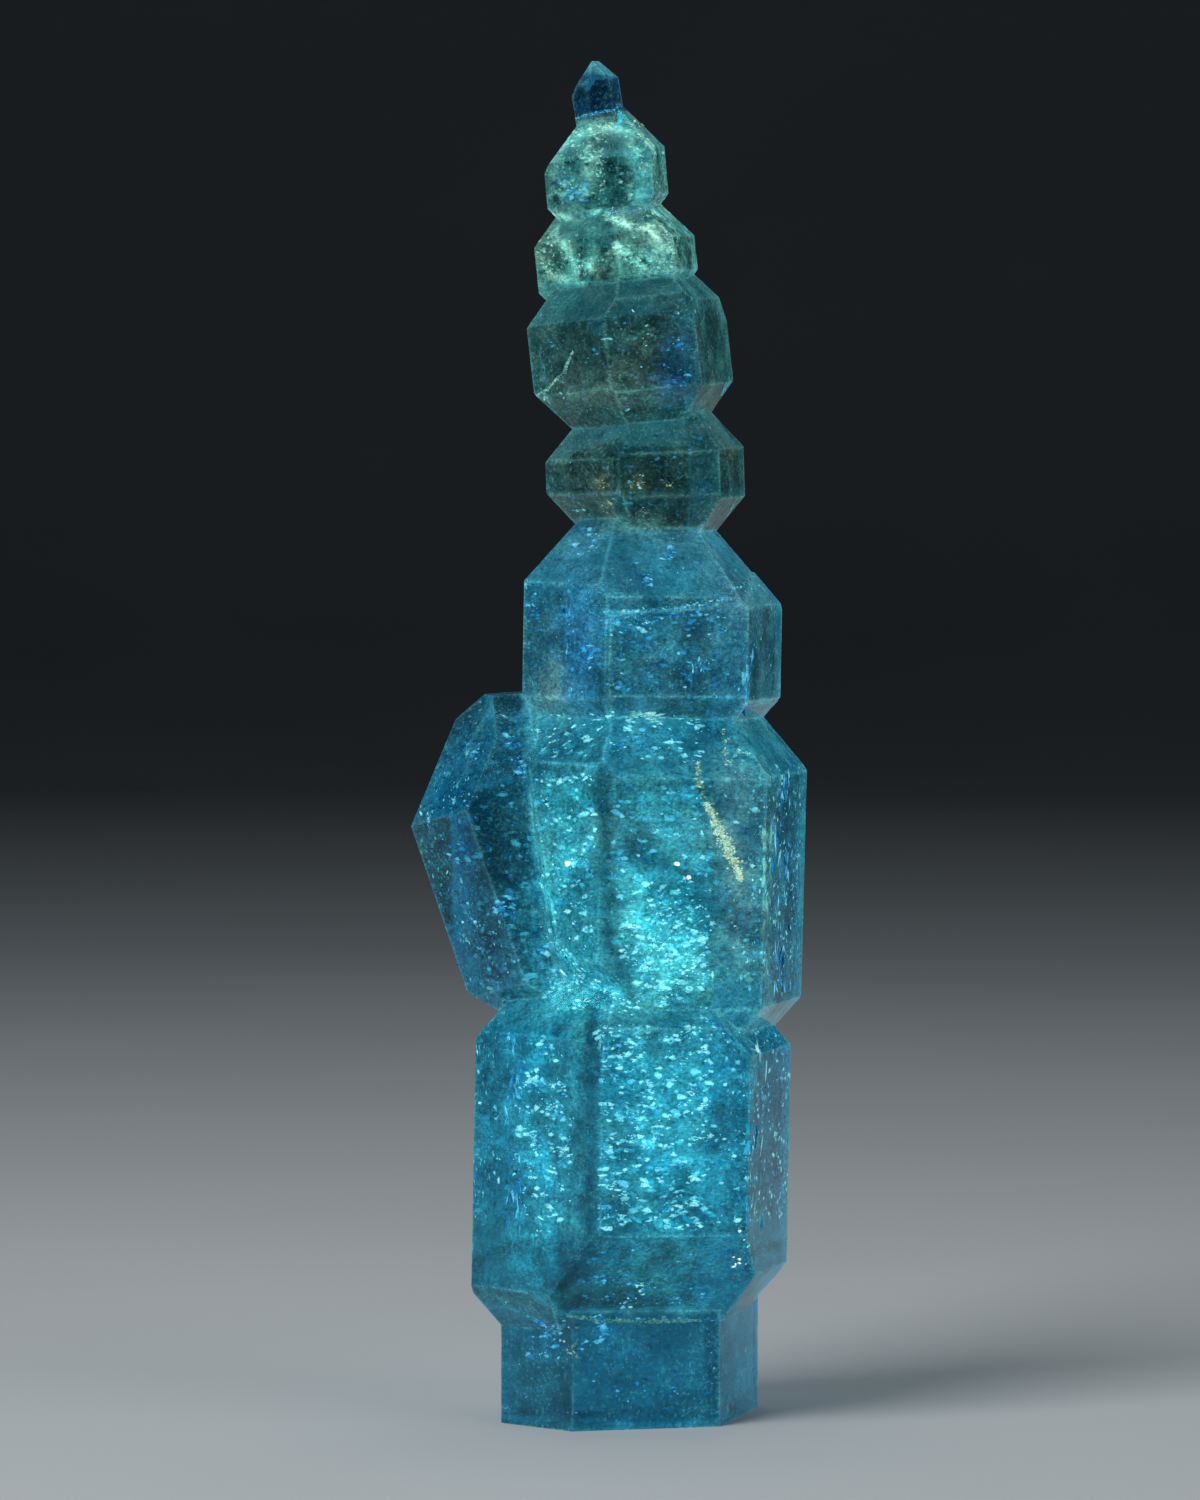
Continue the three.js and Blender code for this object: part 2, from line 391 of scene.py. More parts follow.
def paint_skin(skin, near_edge):
    """Stores glow with painted shade, tint, edge frost with a painted highlight, and mottling on the points.
    """
    count = len(skin.data.vertices)
    glow = np.ones((count, 4))
    tint = np.ones((count, 4))
    frost_and_highlight = np.zeros(count)
    mottle = np.zeros(count)
    for index, vert in enumerate(skin.data.vertices):
        point = vert.co / MM
        growth = growth_at(point)
        colour = glow_at(point, growth)
        frost_and_highlight[index] = near_edge[index]
        if point.y < 0:
            # Painted shade: the dark bands take light from the glow and clear the frost's painted highlight
            shaded = painted_shade_at(point.x, point.z)
            colour = colour * (1 - shaded) + light_veil(point.x, point.z) * VEIL_LIGHT
            frost_and_highlight[index] *= max(0.0, 1 - FROST_AND_HIGHLIGHT_CLEARED * shaded)
        glow[index, :3] = np.maximum(colour, 0.0)
        tint[index, :3] = GROWTH_TINT[growth]
        mottle[index] = GROWTH_MOTTLE[growth]
    add_colour(skin.data, "glow", glow)
    add_colour(skin.data, "tint", tint)
    for name, values in (("frost_and_highlight", frost_and_highlight), ("mottle", mottle)):
        attribute = skin.data.attributes.new(name, "FLOAT", "POINT")
        attribute.data.foreach_set("value", values)


def add_colour(mesh, name, colours):
    attribute = mesh.attributes.new(name, "FLOAT_COLOR", "POINT")
    attribute.data.foreach_set("color", np.asarray(colours, dtype=np.float32).ravel())


# Materials

# The quartz's noises, in features for each millimetre
CLOUD = dict(scale=0.4, detail=2.0, roughness=0.6)
LUMPS = dict(scale=0.95, detail=5.0, roughness=0.72, stretch=(1, 1, 1.25))
GRAIN = dict(scale=5.0, detail=2.0, roughness=0.75, stretch=(1, 1, 1.6))
BANDS = dict(scale=1.0, detail=3.0, roughness=0.6, stretch=(0.3, 0.3, 4.2))
WORN = dict(scale=0.7, detail=1.0, offset=(3, 7, 1))
DRIFT = dict(scale=0.3, detail=2.0, offset=(5, 2, 9))
SPECKS = dict(scale=6.0, detail=2.0, roughness=0.7, offset=(2, 4, 6))

# What each noise does, as the range of the noise and the range that it is spread over
CLOUD_GAIN = ((0.34, 0.66), (0.5, 1.5))
LUMP_GAIN = ((0.41, 0.6), (-0.72, 1.25))
GRAIN_GAIN = ((0.32, 0.68), (0.5, 1.5))
BAND_GAIN = ((0.3, 0.7), (0.88, 1.12))
WORN_GAIN = ((0.42, 0.62), (0.3, 1.0))
FROST_AND_HIGHLIGHT_GAIN = ((0.35, 0.65), (0.3, 1.3))
SPECK_GAIN = ((0.55, 0.72), (0.0, 1.0))
HAZE = ((0.35, 0.75), (0.02, 0.1))

# The glow drifts between these two hues, as (place in the noise, colour). The frost's painted highlight
# and the dust have a paler light of their own.
DRIFT_COLOURS = [(0.36, (0.42, 0.90, 0.97, 1)), (0.64, (0.84, 0.86, 0.78, 1))]
RIM_COLOUR = (0.026, 0.088, 0.086, 1)
PATCH_BASE = 0.85
GLOW_STRENGTH = 1.2
FROST_AND_HIGHLIGHT_SHARPNESS = 4.0
FROST_ROUGHNESS = 0.25
SPECK_STRENGTH = 1.1

# Clear quartz: how it bends, tints and takes up light, and how uneven its faces are
QUARTZ_IOR = 1.544
SPECULAR_TINT = (0.36, 0.78, 0.78, 1)
ABSORPTION_COLOUR = (0.12, 0.62, 0.72, 1)
ABSORPTION_DENSITY = 380.0
BUMP_STRENGTH = 0.4
BUMP_DISTANCE = 0.02 * MM
GRAIN_HEIGHT = 0.35

GLINT_GRAIN = dict(scale=12.0, detail=1.0)
GLINT_GAIN = ((0.3, 0.7), (0.6, 1.3))
GLINT_ROUGHNESS = 0.4


def new_material(name):
    material = bpy.data.materials.new(name)
    material.use_nodes = True
    tree = material.node_tree
    tree.nodes.clear()
    output = tree.nodes.new("ShaderNodeOutputMaterial")
    shader = tree.nodes.new("ShaderNodeBsdfPrincipled")
    tree.links.new(shader.outputs["BSDF"], output.inputs["Surface"])
    return material, tree, shader, output


def add_node(tree, kind, **settings):
    node = tree.nodes.new(kind)
    for name, value in settings.items():
        setattr(node, name, value)
    return node


def attribute_node(tree, name):
    return add_node(tree, "ShaderNodeAttribute", attribute_name=name)


def noise_node(tree, scale, detail=4.0, roughness=0.55, stretch=(1, 1, 1), offset=(0, 0, 0)):
    """Noise in object space. The scale is in features for each millimetre."""
    coordinates = add_node(tree, "ShaderNodeTexCoord")
    mapping = add_node(tree, "ShaderNodeMapping")
    mapping.inputs["Scale"].default_value = [s * scale / MM for s in stretch]
    mapping.inputs["Location"].default_value = offset
    texture = add_node(tree, "ShaderNodeTexNoise")
    texture.inputs["Scale"].default_value = 1.0
    texture.inputs["Detail"].default_value = detail
    texture.inputs["Roughness"].default_value = roughness
    tree.links.new(coordinates.outputs["Object"], mapping.inputs["Vector"])
    tree.links.new(mapping.outputs["Vector"], texture.inputs["Vector"])
    return texture.outputs["Fac"]


def remap(tree, source, from_range, to_range):
    """The source's first range spread over the second, and held at its ends."""
    node = add_node(tree, "ShaderNodeMapRange")
    tree.links.new(source, node.inputs["Value"])
    node.inputs["From Min"].default_value, node.inputs["From Max"].default_value = from_range
    node.inputs["To Min"].default_value, node.inputs["To Max"].default_value = to_range
    return node.outputs["Result"]


def math_node(tree, operation, a, b):
    node = add_node(tree, "ShaderNodeMath", operation=operation)
    for socket, value in zip(node.inputs, (a, b)):
        if isinstance(value, (int, float)):
            socket.default_value = value
        else:
            tree.links.new(value, socket)
    return node.outputs["Value"]


def product(tree, *factors):
    result = factors[0]
    for factor in factors[1:]:
        result = math_node(tree, "MULTIPLY", result, factor)
    return result


def scale_colour(tree, colour, factor):
    node = add_node(tree, "ShaderNodeVectorMath", operation="SCALE")
    tree.links.new(colour, node.inputs[0])
    tree.links.new(factor, node.inputs["Scale"])
    return node.outputs["Vector"]


def combine_colours(tree, operation, first, second):
    node = add_node(tree, "ShaderNodeVectorMath", operation=operation)
    tree.links.new(first, node.inputs[0])
    tree.links.new(second, node.inputs[1])
    return node.outputs["Vector"]


def ramp_colour(tree, source, stops):
    """Colour by a value from 0 to 1. The stops are (place, colour) pairs in order."""
    node = add_node(tree, "ShaderNodeValToRGB")
    elements = node.color_ramp.elements
    elements[0].position, elements[0].color = stops[0]
    elements[1].position, elements[1].color = stops[-1]
    for place, colour in stops[1:-1]:
        elements.new(place).color = colour
    tree.links.new(source, node.inputs["Fac"])
    return node.outputs["Color"]


def quartz_material():
    """Clear quartz that glows from inside, with frost and a painted highlight along its worn edges."""
    material, tree, shader, output = new_material("petroleum quartz")
    glow = attribute_node(tree, "glow").outputs["Color"]
    mottle = attribute_node(tree, "mottle").outputs["Fac"]
    frost_and_highlight = math_node(tree, "POWER", attribute_node(tree, "frost_and_highlight").outputs["Fac"], FROST_AND_HIGHLIGHT_SHARPNESS)
    cloud, lumps, grain, bands, worn, drift, specks = (
        noise_node(tree, **settings) for settings in (CLOUD, LUMPS, GRAIN, BANDS, WORN, DRIFT, SPECKS)
    )

    # The inner glow: the stored colour, drifting in hue and broken into clouds, lumps and grain
    cloud_gain = remap(tree, cloud, *CLOUD_GAIN)
    patches = math_node(tree, "ADD", product(tree, remap(tree, lumps, *LUMP_GAIN), mottle), PATCH_BASE)
    fine_gain = product(tree, remap(tree, grain, *GRAIN_GAIN), remap(tree, bands, *BAND_GAIN))
    gain = product(tree, cloud_gain, patches, fine_gain)
    # Painted highlight: the frost along the worn edges brightens the glow there
    frost_and_highlight = product(tree, frost_and_highlight, remap(tree, grain, *FROST_AND_HIGHLIGHT_GAIN), remap(tree, worn, *WORN_GAIN))
    drifted = combine_colours(tree, "MULTIPLY", glow, ramp_colour(tree, drift, DRIFT_COLOURS))
    lit = scale_colour(tree, drifted, product(tree, math_node(tree, "ADD", gain, frost_and_highlight), GLOW_STRENGTH))

    # The frost's painted edge highlight and fine dust, in a paler light
    dust = product(tree, remap(tree, specks, *SPECK_GAIN), cloud_gain, SPECK_STRENGTH)
    frost_and_highlight = math_node(tree, "ADD", frost_and_highlight, dust)
    rim = add_node(tree, "ShaderNodeRGB").outputs[0]
    rim.default_value = RIM_COLOUR
    shine = combine_colours(tree, "ADD", lit, scale_colour(tree, rim, frost_and_highlight))
    tree.links.new(shine, shader.inputs["Emission Color"])
    shader.inputs["Emission Strength"].default_value = 1.0

    # The clear quartz itself
    tree.links.new(attribute_node(tree, "tint").outputs["Color"], shader.inputs["Base Color"])
    shader.inputs["Transmission Weight"].default_value = 1.0
    shader.inputs["IOR"].default_value = QUARTZ_IOR
    shader.inputs["Specular Tint"].default_value = SPECULAR_TINT
    rough = math_node(tree, "ADD", remap(tree, cloud, *HAZE), product(tree, frost_and_highlight, FROST_ROUGHNESS))
    tree.links.new(rough, shader.inputs["Roughness"])
    absorption = add_node(tree, "ShaderNodeVolumeAbsorption")
    absorption.inputs["Color"].default_value = ABSORPTION_COLOUR
    absorption.inputs["Density"].default_value = ABSORPTION_DENSITY
    tree.links.new(absorption.outputs["Volume"], output.inputs["Volume"])

    # Faint growth lines and grain in its faces
    bump = add_node(tree, "ShaderNodeBump")
    bump.inputs["Strength"].default_value = BUMP_STRENGTH
    bump.inputs["Distance"].default_value = BUMP_DISTANCE
    height = math_node(tree, "ADD", bands, product(tree, grain, GRAIN_HEIGHT))
    tree.links.new(height, bump.inputs["Height"])
    tree.links.new(bump.outputs["Normal"], shader.inputs["Normal"])
    return material


def glint_material():
    """Matter inside the quartz that glows in its own stored colours."""
    material, tree, shader, _ = new_material("glinting inclusions")
    gain = remap(tree, noise_node(tree, **GLINT_GRAIN), *GLINT_GAIN)
    shine = scale_colour(tree, attribute_node(tree, "shine").outputs["Color"], gain)
    tree.links.new(shine, shader.inputs["Emission Color"])
    shader.inputs["Emission Strength"].default_value = 1.0
    shader.inputs["Base Color"].default_value = (0, 0, 0, 1)
    shader.inputs["Specular IOR Level"].default_value = 0.0
    shader.inputs["Roughness"].default_value = GLINT_ROUGHNESS
    return material


# Inclusions: joined meshes of many small glinting plates, specks and veils under the faces

# Colours from the dimmest plate to the brightest, in linear light
PALETTES = {
    "cyan": [(0.00, 0.04, 0.10), (0.00, 0.16, 0.30), (0.02, 0.48, 0.66), (0.60, 1.20, 1.25)],
    "blue": [(0.00, 0.03, 0.10), (0.00, 0.12, 0.34), (0.01, 0.34, 0.78), (0.24, 0.84, 1.10)],
    "pale": [(0.04, 0.12, 0.11), (0.14, 0.38, 0.34), (0.36, 0.76, 0.64), (0.60, 1.00, 0.86)],
    "gold": [(0.10, 0.12, 0.06), (0.32, 0.34, 0.16), (0.72, 0.74, 0.42), (1.05, 1.02, 0.70)],
    "white": [(0.20, 0.24, 0.24), (0.80, 0.80, 0.78), (1.60, 1.30, 1.25), (2.10, 1.60, 1.55)],
    "rose": [(0.10, 0.10, 0.07), (0.34, 0.28, 0.16), (0.62, 0.50, 0.30), (0.90, 0.80, 0.55)],
}

# How a plate is laid: how much of the room behind its face it may use, how strongly small plates
# outnumber large ones, its least width and its height as shares of its size, how much narrower an
# upright one is, how far it leans, how much it follows the face above it and strays from that, and
# its thickness as a share of its size
ROOM_USED = 0.8
SIZE_BIAS = 2.6
LEAST_STRETCH = 0.8
HEIGHT_SHARES = (0.4, 0.9)
UPRIGHT_SHARE = 0.6
LEAN_SPREAD = 0.2
FACE_PULL = 0.8
FACING_SPREAD = 0.25
THICKNESS_SHARE = 0.1

# A plate's outline: its number of corners, how unevenly they are spaced, and how far out they are
PLATE_SIDES = (4, 5, 6)
RIM_UNEVENNESS = 0.3
RIM_REACHES = (0.7, 1.2)

# How bright plates are: the least, how much more in a clump, the share of blue plates among cyan
# ones, and how much light a plate's rim has
LEAST_SHINE = 0.05
CLUMP_SHINE = 0.35
BLUE_SHARE = 0.22
RIM_SHINE = 0.5

# How plates clump: across and up, in clumps for each millimetre, how thin a clump may be, how
# ragged a round zone's edge is, and how many places are tried for each plate
CLUMP_ACROSS = 1.3
CLUMP_UP = 1.7
CLUMP_LIMITS = (-0.35, 0.3)
ROUND_LIMITS = (0.5, 1.0)
TRIES = 12

# A band of painted shade this dark holds no plates
BARE_BAND = 0.26

# Dust: how many specks lie all over and along the edges, how deep they are and how large, in mm
DUST_COUNT = 15000
DUST_DEEPEST = 0.5
EDGE_DUST_COUNT = 6000
EDGE_DUST_DEEPEST = 0.14
DUST_LEAST_DEPTH = 0.05
DUST_SIZE = 0.025
DUST_SPREAD = 0.075
DUST_SIZE_BIAS = 2

# A speck's shape as shares of its size, its light beside its growth's own, and how few sparkle
DUST_SIDES = 3
DUST_HEIGHTS = (0.5, 1.0)
DUST_THICKNESS = 0.3
DUST_LIGHT = (0.008, 0.018, 0.017)
DUST_GAIN = 1.6
DUST_SPARKLE = 10.0
DUST_SPARKLE_BIAS = 4

# A crack: how wide its ends are and how much its middle adds, as shares of its width, how far and
# how often it wanders from its path, how tightly its plates keep to it, and what sets each crack's
# wandering apart from the next one's
CRACK_END = 0.3
CRACK_SWELL = 0.7
CRACK_WANDER = 0.3
CRACK_BENDS = 7
CRACK_TIGHTNESS = 1.6
CRACK_SEED_STEP = 3.7

# A ray that looks for a face starts OUTSIDE the crystal, and one that measures the room behind the
# face starts JUST_INSIDE it. Points nearer than SAME_PLACE are one.
OUTSIDE = 30 * MM
JUST_INSIDE = 0.01 * MM
SAME_PLACE = 0.001 * MM


def palette_colour(name, brightness):
    """The palette's colour at a brightness from 0 to 1."""
    colours = PALETTES[name]
    place = clamp01(brightness) * (len(colours) - 1)
    index = min(int(place), len(colours) - 2)
    low, high = np.array(colours[index]), np.array(colours[index + 1])
    return low + (high - low) * (place - index)


def random_vector(rng):
    return Vector((rng.gauss(0, 1), rng.gauss(0, 1), rng.gauss(0, 1)))


class InclusionMesh:
    """Gathers small closed shapes into one mesh, with a colour for each point."""

    def __init__(self):
        self.points = []
        self.faces = []
        self.colours = []

    def add_plate(self, centre, across, up, out, rim, thickness, colour):
        """A thin closed plate: rim holds (across, up) offsets, out is its facing."""
        first = len(self.points)
        for a, u in rim:
            self.points.append(centre + across * a + up * u)
            self.colours.append(colour * RIM_SHINE)
        front = len(self.points)
        self.points.append(centre + out * (thickness / 2))
        self.points.append(centre - out * (thickness / 2))
        self.colours.extend([colour, colour])
        count = len(rim)
        for k in range(count):
            here, after = first + k, first + (k + 1) % count
            self.faces.append((here, after, front))
            self.faces.append((after, here, front + 1))

    def finish(self, name, material):
        mesh = bpy.data.meshes.new(name)
        mesh.from_pydata([tuple(p) for p in self.points], [], self.faces)
        colours = np.ones((len(self.points), 4))
        colours[:, :3] = np.array(self.colours)
        add_colour(mesh, "shine", colours)
        mesh.materials.append(material)
        made = bpy.data.objects.new(name, mesh)
        bpy.context.collection.objects.link(made)
        return made


class Quarry:
    """Finds places under the solid's faces."""

    def __init__(self):
        bm = bmesh.new()
        bm.from_mesh(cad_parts[NODE].data)
        bmesh.ops.remove_doubles(bm, verts=bm.verts[:], dist=SAME_PLACE)
        bmesh.ops.triangulate(bm, faces=bm.faces[:])
        bm.normal_update()
        self.tree = BVHTree.FromBMesh(bm)
        self.triangles = [[v.co.copy() for v in f.verts] for f in bm.faces]
        self.normals = [f.normal.copy() for f in bm.faces]
        self.areas = [f.calc_area() for f in bm.faces]
        self.edges = []
        for edge in bm.edges:
            if is_sharp(edge):
                outward = (edge.link_faces[0].normal + edge.link_faces[1].normal).normalized()
                self.edges.append((edge.verts[0].co.copy(), edge.verts[1].co.copy(), outward))
        bm.free()

    def under_face(self, across, height, turn):
        """The face point and directions met from outside at turn degrees round from the front."""
        angle = math.radians(turn)
        right = Vector((math.cos(angle), math.sin(angle), 0))
        inward = Vector((-math.sin(angle), math.cos(angle), 0))
        start = right * across * MM - inward * OUTSIDE + Vector((0, 0, height * MM))
        place, normal, _, _ = self.tree.ray_cast(start, inward)
        return place, normal, right, inward

    def room_behind(self, place, inward):
        """How deep the solid is behind a face point."""
        far, _, _, _ = self.tree.ray_cast(place + inward * JUST_INSIDE, inward)
        return 0.0 if far is None else (far - place).length

    def along_edges(self, rng, count):
        """Points and outward directions spread evenly along every sharp edge."""
        lengths = [(b - a).length for a, b, _ in self.edges]
        for a, b, outward in rng.choices(self.edges, weights=lengths, k=count):
            yield a.lerp(b, rng.random()), outward

    def anywhere(self, rng, count):
        """Face points and normals spread evenly over the whole solid."""
        for index in rng.choices(range(len(self.triangles)), weights=self.areas, k=count):
            a, b, c = self.triangles[index]
            u, v = rng.random(), rng.random()
            if u + v > 1:
                u, v = 1 - u, 1 - v
            yield a + (b - a) * u + (c - a) * v, self.normals[index]


def ragged_rim(rng, sides, wide, tall):
    """An uneven outline of a plate, as (across, up) offsets."""
    rim = []
    for k in range(sides):
        angle = math.tau * (k + rng.uniform(-RIM_UNEVENNESS, RIM_UNEVENNESS)) / sides
        reach = rng.uniform(*RIM_REACHES)
        rim.append((math.cos(angle) * wide / 2 * reach, math.sin(angle) * tall / 2 * reach))
    return rim


def scatter(shapes, quarry, rng, zone):
    """Plates under one zone of the surface, clumped as they grew. The zone is in mm."""
    made = 0
    turn = zone.get("turn", 0)
    middle = [sum(zone[axis]) / 2 for axis in "xz"]
    half = [(zone[axis][1] - zone[axis][0]) / 2 for axis in "xz"]
    for _ in range(zone["count"] * TRIES):
        if made == zone["count"]:
            return
        u, v = rng.uniform(-1, 1), rng.uniform(-1, 1)
        if zone.get("round") and u * u + v * v > rng.uniform(*ROUND_LIMITS):
            continue
        across, height = middle[0] + u * half[0], middle[1] + v * half[1]
        clump = noise.noise(Vector((across * CLUMP_ACROSS, turn, height * CLUMP_UP)))
        if not zone.get("even") and clump < rng.uniform(*CLUMP_LIMITS):
            continue
        # Plates keep out of the deeper bands of painted shade
        if turn == 0 and painted_shade_at(across, height) > BARE_BAND:
            continue
        made += lay_plate(shapes, quarry, rng, across, height, zone, CLUMP_SHINE * max(0.0, clump))


def lay_plate(shapes, quarry, rng, across, height, zone, lift=0.0):
    """One plate under the face at a place seen from the zone's side. Says whether it found room."""
    place, normal, right, inward = quarry.under_face(across, height, zone.get("turn", 0))
    if place is None:
        return False
    depth = rng.uniform(*zone["depth"]) * MM
    if depth > quarry.room_behind(place, inward) * ROOM_USED:
        return False
    smallest, largest = zone["size"]
    size = (smallest + (largest - smallest) * rng.random() ** SIZE_BIAS) * MM
    wide, tall = size * rng.uniform(LEAST_STRETCH, zone["stretch"]), size * rng.uniform(*HEIGHT_SHARES)
    if zone.get("upright"):
        wide, tall = tall * UPRIGHT_SHARE, wide
    lean = rng.gauss(0, LEAN_SPREAD)
    across_axis = right * math.cos(lean) + Vector((0, 0, 1)) * math.sin(lean)
    facing = (normal * FACE_PULL - inward + random_vector(rng) * FACING_SPREAD).normalized()
    up = facing.cross(across_axis).normalized()
    palette = zone["palette"]
    if palette == "cyan" and rng.random() < BLUE_SHARE:
        palette = "blue"
    brightness = LEAST_SHINE + zone["top"] * rng.random() ** zone["dimness"] + lift
    shapes.add_plate(
        place + inward * depth,
        up.cross(facing).normalized(),
        up,
        facing,
        ragged_rim(rng, rng.choice(PLATE_SIDES), wide, tall),
        size * THICKNESS_SHARE,
        palette_colour(palette, brightness),
    )
    return True


def scatter_dust(shapes, rng, places, deepest):
    """Fine specks just under the given places, lit as their growth is."""
    for place, normal in places:
        growth = growth_at(place / MM)
        size = (DUST_SIZE + DUST_SPREAD * rng.random() ** DUST_SIZE_BIAS) * MM
        across = normal.orthogonal().normalized()
        up = normal.cross(across)
        gain = DUST_GAIN + DUST_SPARKLE * rng.random() ** DUST_SPARKLE_BIAS
        colour = (np.array(GROWTH_GLOW[growth]) + np.array(DUST_LIGHT)) * gain
        shapes.add_plate(
            place - normal * rng.uniform(DUST_LEAST_DEPTH, deepest) * MM,
            across,
            up,
            normal,
            ragged_rim(rng, DUST_SIDES, size, size * rng.uniform(*DUST_HEIGHTS)),
            size * DUST_THICKNESS,
            colour,
        )


def scatter_along(shapes, quarry, rng, crack):
    """Small plates strewn along a path of (across, height) points, thickest in its middle."""
    path = [Vector((x, z, 0)) for x, z in crack["path"]]
    lengths = [(b - a).length for a, b in zip(path, path[1:])]
    total = sum(lengths)
    for _ in range(int(total * crack["plates"])):
        travelled = rng.random() * total
        part = travelled / total
        for a, b, length in zip(path, path[1:], lengths):
            if travelled <= length:
                break
            travelled -= length
        spot = a.lerp(b, min(1.0, travelled / length))
        width = crack["width"]
        spread = width * (CRACK_END + CRACK_SWELL * math.sin(math.pi * part)) / 2 / CRACK_TIGHTNESS
        wander = CRACK_WANDER * width * noise.noise(Vector((part * CRACK_BENDS, crack["seed"], 0)))
        across = spot.x + wander + rng.gauss(0, spread)
        lay_plate(shapes, quarry, rng, across, spot.y + rng.gauss(0, spread), crack)


def patch(x, z, count, kind, **changes):
    """A zone between two places across and two heights."""
    return {**kind, "x": x, "z": z, "count": count, **changes}


def cluster(x, z, radius, count, kind, **changes):
    """A round zone of evenly strewn plates."""
    across, height = (x - radius, x + radius), (z - radius, z + radius)
    return patch(across, height, count, kind, round=True, even=True, **changes)


# Kinds of plate: their size and depth under the face in mm, how much wider than their size they
# may be, how bright the brightest is, and how strongly dim ones outnumber bright ones
GLINT = dict(size=(0.06, 0.44), depth=(0.08, 1.3), palette="cyan", stretch=1.6, top=1.4, dimness=2.3)
BLUE = dict(size=(0.06, 0.38), depth=(0.08, 0.8), palette="blue", stretch=1.7, top=1.25, dimness=1.6)
FAINT = dict(size=(0.05, 0.26), depth=(0.1, 1.4), palette="cyan", stretch=1.9, top=0.8, dimness=2.6)
STRIPE = dict(
    size=(0.10, 0.60), depth=(0.06, 0.6), palette="blue", stretch=2.4, top=0.9, dimness=1.8, upright=True
)
PALE = dict(size=(0.05, 0.26), depth=(0.03, 0.4), palette="pale", stretch=1.5, top=0.85, dimness=1.6)
ROSE = dict(size=(0.04, 0.16), depth=(0.1, 0.7), palette="rose", stretch=1.4, top=1.0, dimness=1.2)
SPARK = dict(size=(0.24, 0.36), depth=(0.02, 0.1), palette="white", stretch=1.1, top=1.4, dimness=0.2)

